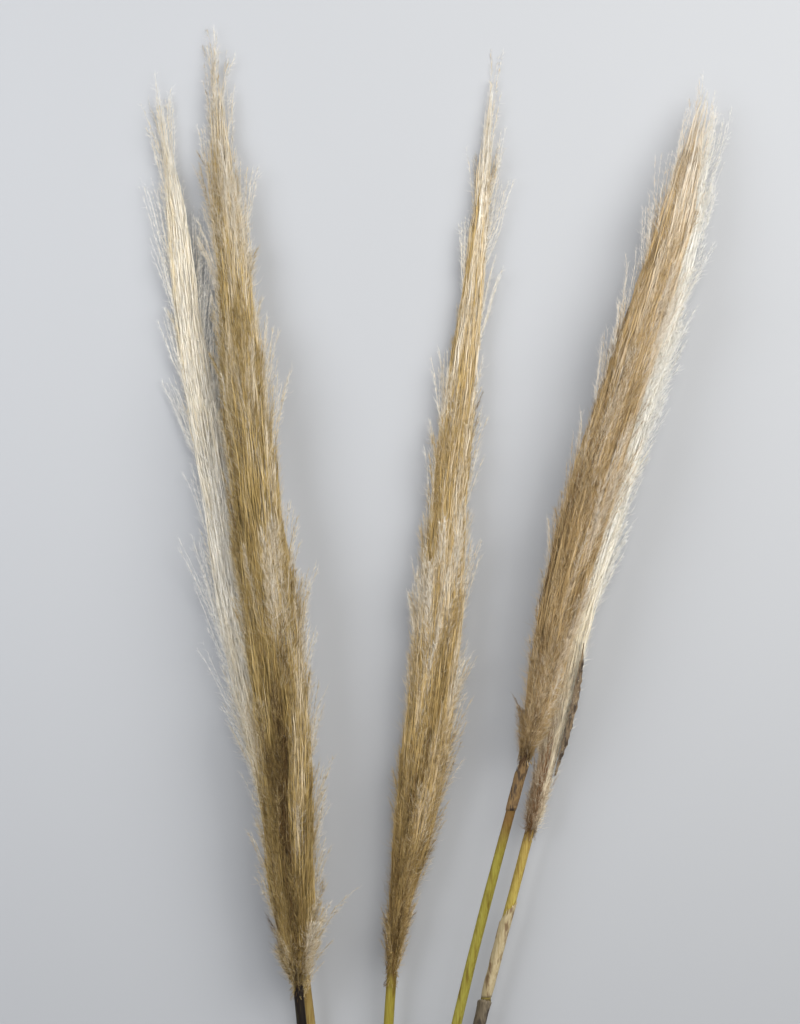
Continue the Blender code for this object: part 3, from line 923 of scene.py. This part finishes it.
def make_sheath(node, name, stalk, looks, material, rng):
    """A leaf sheath: a ribbed dry sheet rolled round the stem, torn along its upper edge."""
    line = StemLine(stalk)
    points = node_mesh(node)[0]
    centre = line.place(points[:, 1])
    turn = np.arctan2(points[:, 2] - centre[:, 2], points[:, 0] - centre[:, 0])
    # The slit is the widest gap between the points' turns.
    order = np.sort(turn)
    gaps = np.diff(np.concatenate([order, order[:1] + TAU]))
    widest = int(gaps.argmax())
    start, sweep = order[(widest + 1) % len(order)], TAU - gaps[widest]
    share = np.mod(turn - start + 1e-6, TAU) / sweep
    across = np.linspace(0, 1, SHEATH_COLUMNS)
    stations = np.linspace(0, 1, SHEATH_STATIONS)
    nearest = np.abs(share[:, None] - stations).argmin(1)
    top = np.array([points[nearest == i, 1].max() for i in range(SHEATH_STATIONS)])
    top = np.interp(across, stations, top)
    bottom = points[:, 1].min()
    # Torn teeth along the upper edge, each a few ribs wide.
    ragged = np.abs(waves(across, (0.31, 0.13, 0.057), rng)) + 0.5 * rng.random(SHEATH_COLUMNS)
    top = top - looks["tear"] * MM * ragged + looks["rise"] * MM
    rows = max(12, int((top.max() - bottom) / (2.5 * MM)))
    up = np.linspace(0, 1, rows)[:, None]
    y = bottom + (top[None] - bottom) * up
    turns = start + sweep * across[None] + 0 * y
    wander = 2 * waves(y, (0.09, 0.05), rng)
    ribs = looks["rib"] * MM * (0.5 + 0.5 * np.cos(TAU * across * looks["ribs"] + wander))
    at_edge = np.exp(-((np.minimum(across, 1 - across) / 0.07) ** 2))[None]
    lift = looks["lift"] * MM * at_edge * (0.6 + 0.4 * waves(y, (0.06, 0.021), rng))
    mouth = looks["mouth"] * MM * up**6 * (1 + 0.5 * waves(across, (0.4, 0.17), rng))
    crinkle = 0.18 * MM * waves(y + 0.01 * np.sin(TAU * across * 3), (0.017, 0.029), rng)
    # It grows out of the joint at its base, so it hugs the stem there.
    loose = SHEATH_CLEAR + ribs + lift + mouth + crinkle
    rise = SHEATH_HUG + (loose - SHEATH_HUG) * smooth_step(up / 0.1)
    wall = looks["wall"] * MM
    outer = line.tube(y, turns, rise + wall)
    inner = line.tube(y, turns, np.maximum(rise, 0.1 * MM))
    for face in (outer, inner):
        face[..., 2] = np.maximum(face[..., 2], FLOOR_GAP)
    piece = sheet_piece(name, outer, inner, material)
    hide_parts(node)
    return piece


def make_leaf(node, name, material, rng):
    """The withered leaf: a narrow blade folded along its midrib, crinkled and curled in as it dried."""
    mesh = node_mesh(node)
    low, high = (corner[1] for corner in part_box(node))
    y = np.linspace(low + MM, high - MM, LEAF_ROWS)
    centres, halves = [], []
    for at in y:
        cut = slice_at(mesh, at)
        centre = (cut.max(0) + cut.min(0)) / 2
        spread = cut - centre
        axis = np.linalg.svd(spread, full_matrices=False)[2][0]
        axis = axis if axis[1] > 0 else -axis
        centres.append(centre)
        halves.append(axis * np.abs(spread @ axis).max())
    centres, halves = running_mean(centres, 9), running_mean(halves, 9)
    share = np.linspace(0, 1, LEAF_ROWS)[:, None]
    across = np.linspace(-1, 1, LEAF_COLUMNS)[None]
    taper = np.clip(1.15 * np.sin(math.pi * np.clip(share * 0.92 + 0.06, 0, 1)) ** 0.7, 0.05, 1)
    edge = 1.55 + 0.35 * waves(share * 3 + 0.6 * across, (0.9, 0.37, 0.21), rng)
    side = across * taper * edge
    normal = np.stack([-halves[:, 1], halves[:, 0]], 1)
    normal /= np.linalg.norm(normal, axis=1, keepdims=True)
    normal *= np.where(normal[:, :1] > 0, 1, -1)
    fold = (0.75 * np.abs(side) ** 1.3 + 0.35 * waves(share * 5 + across, (0.8, 0.31), rng)) * MM
    flat = centres[:, None] + halves[:, None] * side[..., None] + normal[:, None] * fold[..., None]
    wander = 0.4 * MM * waves(share * 4 + across * 2, (0.7, 0.3), rng)
    y_grid = np.repeat(y[:, None], LEAF_COLUMNS, 1) + wander
    middle = np.stack([flat[..., 0], y_grid, flat[..., 1]], -1)
    offset = np.stack([normal[:, 0], 0 * y, normal[:, 1]], -1)[:, None] * 0.14 * MM
    piece = sheet_piece(name, middle + offset, middle - offset, material)
    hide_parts(node)
    return piece


# ---------------------------------------------------------------- materials

def add_node(material, kind, inputs=(), stops=(), **settings):
    """Adds a node with its settings. An input is a value, or an output socket to link from. The stops
    are those of a colour ramp, each (place, linear colour)."""
    tree = material.node_tree
    node = tree.nodes.new(kind)
    for key, value in settings.items():
        setattr(node, key, value)
    for key, value in dict(inputs).items():
        if isinstance(value, bpy.types.NodeSocket):
            tree.links.new(value, node.inputs[key])
        else:
            node.inputs[key].default_value = value
    for _ in stops[2:]:
        node.color_ramp.elements.new(0.5)
    for number, (place, colour) in enumerate(stops):
        node.color_ramp.elements[number].position = place
        node.color_ramp.elements[number].color = (*colour, 1)
    return node


def new_material(name):
    material = bpy.data.materials.new(name)
    material.use_nodes = True
    return material, material.node_tree.nodes["Principled BSDF"]


def blend(a, b, share):
    return [x + (y - x) * share for x, y in zip(a, b)]


def pampas_hair(stalk, colours):
    """Dried pampas hair: plant hair with a silky lustre. It is deep brown between the branchlets, partly
    its own colour and partly painted shade, and bleaches to cream at its tips, so the plume looks
    mottled; the pale tips also give its edge a painted glow."""
    deep, middle, pale = (getattr(colours, f"{stalk}_{shade}") for shade in ("deep", "middle", "pale"))
    material, shader = new_material(f"silky_pampas_hair_{stalk}")
    place = add_node(material, "ShaderNodeUVMap", uv_map=STRAND_MAP)
    split = add_node(material, "ShaderNodeSeparateXYZ", {"Vector": place.outputs["UV"]})
    stops = (
        (0.0, deep),
        (0.22, blend(deep, middle, 0.5)),
        (0.44, middle),
        (0.72, blend(middle, pale, 0.6)),
        (1.0, pale),
    )
    ramp = add_node(material, "ShaderNodeValToRGB", {"Fac": split.outputs["Y"]}, stops)
    # A hair bleaches towards its tip, and the paler it is the more. The pale tips are also a painted glow
    # of light through the hair at the plume's edge.
    to_tip = add_node(
        material, "ShaderNodeMapRange", {"Value": split.outputs["X"], "From Min": 0.25, "To Max": 0.65}
    )
    paleness = add_node(material, "ShaderNodeMapRange", {"Value": split.outputs["Y"], "From Min": 0.32})
    bleach_and_glow = add_node(
        material,
        "ShaderNodeMath",
        {0: to_tip.outputs["Result"], 1: paleness.outputs["Result"]},
        operation="MULTIPLY",
        use_clamp=True,
    )
    mix = add_node(
        material,
        "ShaderNodeMix",
        {"Factor": bleach_and_glow.outputs["Value"], "A": ramp.outputs["Color"], "B": (*pale, 1)},
        data_type="RGBA",
    )
    material.node_tree.links.new(mix.outputs[COLOUR_RESULT], shader.inputs["Base Color"])
    shader.inputs["Roughness"].default_value = 0.55
    shader.inputs["Specular IOR Level"].default_value = 0.25
    shader.inputs["Sheen Weight"].default_value = 0.06
    shader.inputs["Sheen Roughness"].default_value = 0.4
    return material


def stretched_noise(material, across_mm, along_mm, detail=3.0):
    """A noise whose grains are this wide and this long, running along the stalk (Y)."""
    place = add_node(material, "ShaderNodeTexCoord")
    scaled = add_node(
        material,
        "ShaderNodeMapping",
        {
            "Vector": place.outputs["Object"],
            "Scale": (1 / (across_mm * MM), 1 / (along_mm * MM), 1 / (across_mm * MM)),
        },
    )
    noise = add_node(
        material, "ShaderNodeTexNoise", {"Vector": scaled.outputs["Vector"], "Scale": 1.0, "Detail": detail}
    )
    return noise.outputs["Fac"]


def tinted(material, colour, layers):
    """The colour with tints laid over it. Each layer is (a pattern, its value where the tint starts, its
    value where it is full, how strong it is there, hex colour, blend mode)."""
    for pattern, start, full, strength, tint, mode in layers:
        mask = add_node(
            material,
            "ShaderNodeMapRange",
            {"Value": pattern, "From Min": start, "From Max": full, "To Max": strength},
        )
        mix = add_node(
            material,
            "ShaderNodeMix",
            {"Factor": mask.outputs["Result"], "A": colour, "B": (*linear(tint), 1)},
            data_type="RGBA",
            blend_type=mode,
        )
        colour = mix.outputs[COLOUR_RESULT]
    return colour


def surface_of(material, shader, colour, grain, roughness, bump_depth, bump_strength):
    """Links the colour, and the grain as a roughness (least, most) and as fine relief."""
    links = material.node_tree.links
    links.new(colour, shader.inputs["Base Color"])
    rough = add_node(
        material,
        "ShaderNodeMapRange",
        {"Value": grain, "From Min": 0.3, "From Max": 0.7, "To Min": roughness[0], "To Max": roughness[1]},
    )
    links.new(rough.outputs["Result"], shader.inputs["Roughness"])
    bump = add_node(
        material, "ShaderNodeBump", {"Height": grain, "Strength": bump_strength, "Distance": bump_depth}
    )
    links.new(bump.outputs["Normal"], shader.inputs["Normal"])


def dried_reed(stalk):
    """Dried reed stem: a smooth waxy skin over lengthwise fibres. It has a soft shine with fine
    lengthwise streaks, weathered blotches, and a dark scar at each joint."""
    line = StemLine(stalk)
    neck = PlumeShape(stalk).neck
    material, shader = new_material(f"dried_reed_skin_{stalk}")
    place = add_node(material, "ShaderNodeTexCoord")
    split = add_node(material, "ShaderNodeSeparateXYZ", {"Vector": place.outputs["Object"]})
    looks = STEM_LOOKS[stalk][::-1]
    low, high = looks[0][0], looks[-1][0]
    along = split.outputs["Y"]
    fraction = add_node(
        material,
        "ShaderNodeMapRange",
        {"Value": along, "From Min": neck + low * MM, "From Max": neck + high * MM},
    )
    stops = [((at - low) / (high - low), linear(code)) for at, code in looks]
    ramp = add_node(material, "ShaderNodeValToRGB", {"Fac": fraction.outputs["Result"]}, stops)
    # Reed fibres are about 0.1 mm wide. They are drawn 0.5 mm wide so that they show.
    fibres = stretched_noise(material, 0.5, 22.0)
    blotches = stretched_noise(material, 4.0, 30.0, 4.0)
    layers = [
        (fibres, 0.35, 0.7, 0.8, "#c9b48a", "MULTIPLY"),
        (blotches, 0.56, 0.72, 0.7, "#a07a4c", "MULTIPLY"),
        (blotches, 0.42, 0.28, 0.6, "#4a4528", "SCREEN"),
    ]
    for joint in line.joints:
        away = add_node(
            material, "ShaderNodeMath", {0: along, 1: joint + 1.6 * MM}, operation="SUBTRACT"
        )
        near = add_node(material, "ShaderNodeMath", {0: away.outputs["Value"]}, operation="ABSOLUTE")
        layers.append((near.outputs["Value"], 2.6 * MM, 0.4 * MM, 0.85, "#3a2b1a", "MIX"))
    # The pith shows at the cut end, which is the first few tenths of a millimetre of the stem.
    layers.append((along, line.y[0] + 0.35 * MM, line.y[0] - 0.1 * MM, 1.0, "#d9c9a0", "MIX"))
    colour = tinted(material, ramp.outputs["Color"], layers)
    surface_of(material, shader, colour, fibres, (0.45, 0.68), 0.12 * MM, 0.35)
    shader.inputs["Specular IOR Level"].default_value = 0.22
    return material


def dry_leaf_skin(name, base, dark, pale, patch_mm, patch_from, roughness):
    """Dead leaf tissue: papery and dull, with parallel veins, brown spotting where it weathered and
    bleached ribs between."""
    material, shader = new_material(name)
    # Veins are about 0.2 mm apart. They are drawn 0.45 mm apart so that they show.
    veins = stretched_noise(material, 0.45, 40.0)
    patches = stretched_noise(material, patch_mm, patch_mm * 3.5, 5.0)
    layers = (
        (veins, 0.38, 0.66, 0.8, pale, "MIX"),
        (patches, patch_from, patch_from + 0.12, 0.9, dark, "MIX"),
    )
    colour = tinted(material, (*linear(base), 1), layers)
    surface_of(material, shader, colour, veins, (roughness - 0.1, roughness + 0.12), 0.15 * MM, 0.5)
    return material


# ---------------------------------------------------------------- operators

class PAMPAS_OT_plume(bpy.types.Operator):
    """Grow one plume's locks of branchlets and silky hair round its spine"""

    bl_idname = "pampas.plume"
    bl_label = "Grow a plume"

    stalk: EnumProperty(name="Stalk", items=[(s, s.replace("_", " ").capitalize(), "") for s in STALKS])

    def execute(self, context):
        sizes = context.scene.pampas_hair
        shape = PlumeShape(self.stalk)
        looks = PLUME_LOOKS[self.stalk]
        material = pampas_hair(self.stalk, context.scene.pampas_colours)
        for number, node in enumerate(shape.locks):
            rng = np.random.default_rng((sizes.seed, STALKS.index(self.stalk), number))
            name = node.replace("plume_", "hair_")
            piece = grow_lock(shape, number, looks, sizes, name, material, rng)
        return {"FINISHED"}


class PAMPAS_OT_stems(bpy.types.Operator):
    """Build the five reed stems, with their joints and cut ends"""

    bl_idname = "pampas.stems"
    bl_label = "Build the stems"

    def execute(self, context):
        for stalk in STALKS:
            rng = np.random.default_rng((context.scene.pampas_hair.seed, 50 + STALKS.index(stalk)))
            piece = make_culm(stalk, dried_reed(stalk), rng)
        return {"FINISHED"}


class PAMPAS_OT_sheaths(bpy.types.Operator):
    """Roll the dry leaf sheaths round the right-hand stems"""

    bl_idname = "pampas.sheaths"
    bl_label = "Roll the sheaths"

    def execute(self, context):
        for number, (node, looks) in enumerate(SHEATH_LOOKS.items()):
            rng = np.random.default_rng((context.scene.pampas_hair.seed, 60 + number))
            material = dry_leaf_skin(looks["slot"] + "_skin", *looks["skin"])
            piece = make_sheath(node, looks["name"], looks["stalk"], looks, material, rng)
        return {"FINISHED"}


class PAMPAS_OT_leaf(bpy.types.Operator):
    """Lay the withered leaf against the right back plume"""

    bl_idname = "pampas.leaf"
    bl_label = "Lay the leaf"

    def execute(self, context):
        rng = np.random.default_rng((context.scene.pampas_hair.seed, 70))
        material = dry_leaf_skin("withered_leaf_skin", "#5a4838", "#2a1e15", "#a08c6c", 3.0, 0.48, 0.75)
        make_leaf("leaf_right_back", "withered_blade", material, rng)
        return {"FINISHED"}


class PAMPAS_OT_stage(bpy.types.Operator):
    """Lay the plain surface, and set the soft lights and the camera that looks straight down"""

    bl_idname = "pampas.stage"
    bl_label = "Set the stage"

    def execute(self, context):
        scene = context.scene
        scene.view_settings.view_transform = "Standard"
        floor_mesh = bpy.data.meshes.new("surface")
        corners = [(x * FLOOR_HALF, y * FLOOR_HALF, 0) for x, y in ((-1, -1), (1, -1), (1, 1), (-1, 1))]
        floor_mesh.from_pydata(corners, [], [(0, 1, 2, 3)])
        # Matt painted board: it spreads the light evenly and has no shine, so only soft shadows show.
        material, shader = new_material("matt_painted_surface")
        shader.inputs["Base Color"].default_value = (*scene.pampas_colours.floor, 1)
        shader.inputs["Roughness"].default_value = 0.9
        shader.inputs["Specular IOR Level"].default_value = 0.2
        floor_mesh.materials.append(material)
        floor = bpy.data.objects.new("surface", floor_mesh)
        scene.collection.objects.link(floor)
        world = bpy.data.worlds.new("studio")
        world.use_nodes = True
        background = world.node_tree.nodes["Background"]
        background.inputs["Color"].default_value = (*linear("#f2f4f8"), 1)
        background.inputs["Strength"].default_value = 0.30
        scene.world = world
        for name, place, size, watts, colour in LAMPS:
            light = bpy.data.lights.new(name, "AREA")
            light.shape, light.size, light.energy, light.color = "DISK", size, watts, linear(colour)
            lamp = bpy.data.objects.new(name, light)
            lamp.location = place
            lamp.rotation_euler = (LIT_POINT - Vector(place)).to_track_quat("-Z", "Y").to_euler()
            lamp.visible_camera = False
            scene.collection.objects.link(lamp)
        camera = bpy.data.cameras.new("camera")
        camera.sensor_width = 36.0
        camera.lens = camera.sensor_width * (CAMERA_PLACE[2] - PLUME_HEIGHT) / VIEW_HEIGHT
        camera.clip_end = 60.0
        eye = bpy.data.objects.new("camera", camera)
        eye.location = CAMERA_PLACE
        scene.collection.objects.link(eye)
        scene.camera = eye
        return {"FINISHED"}


class PAMPAS_PT_panel(bpy.types.Panel):
    bl_label = "Pampas grass bundle"
    bl_idname = "PAMPAS_PT_panel"
    bl_space_type = "VIEW_3D"
    bl_region_type = "UI"
    bl_category = "Pampas"

    def draw(self, context):
        for stalk in STALKS:
            self.layout.operator(PAMPAS_OT_plume.bl_idname, text=f"Plume, {stalk}").stalk = stalk
        for operator in (PAMPAS_OT_stems, PAMPAS_OT_sheaths, PAMPAS_OT_leaf, PAMPAS_OT_stage):
            self.layout.operator(operator.bl_idname)


CLASSES = (
    PampasHairSettings,
    PampasColours,
    PAMPAS_OT_plume,
    PAMPAS_OT_stems,
    PAMPAS_OT_sheaths,
    PAMPAS_OT_leaf,
    PAMPAS_OT_stage,
    PAMPAS_PT_panel,
)


def register():
    for cls in CLASSES:
        bpy.utils.register_class(cls)
    bpy.types.Scene.pampas_hair = PointerProperty(type=PampasHairSettings)
    bpy.types.Scene.pampas_colours = PointerProperty(type=PampasColours)


def unregister():
    del bpy.types.Scene.pampas_colours
    del bpy.types.Scene.pampas_hair
    for cls in reversed(CLASSES):
        bpy.utils.unregister_class(cls)


def main():
    register()
    for stalk in STALKS:
        bpy.ops.pampas.plume(stalk=stalk)
    bpy.ops.pampas.stems()
    bpy.ops.pampas.sheaths()
    bpy.ops.pampas.leaf()
    bpy.ops.pampas.stage()


if __name__ == "__main__":
    main()
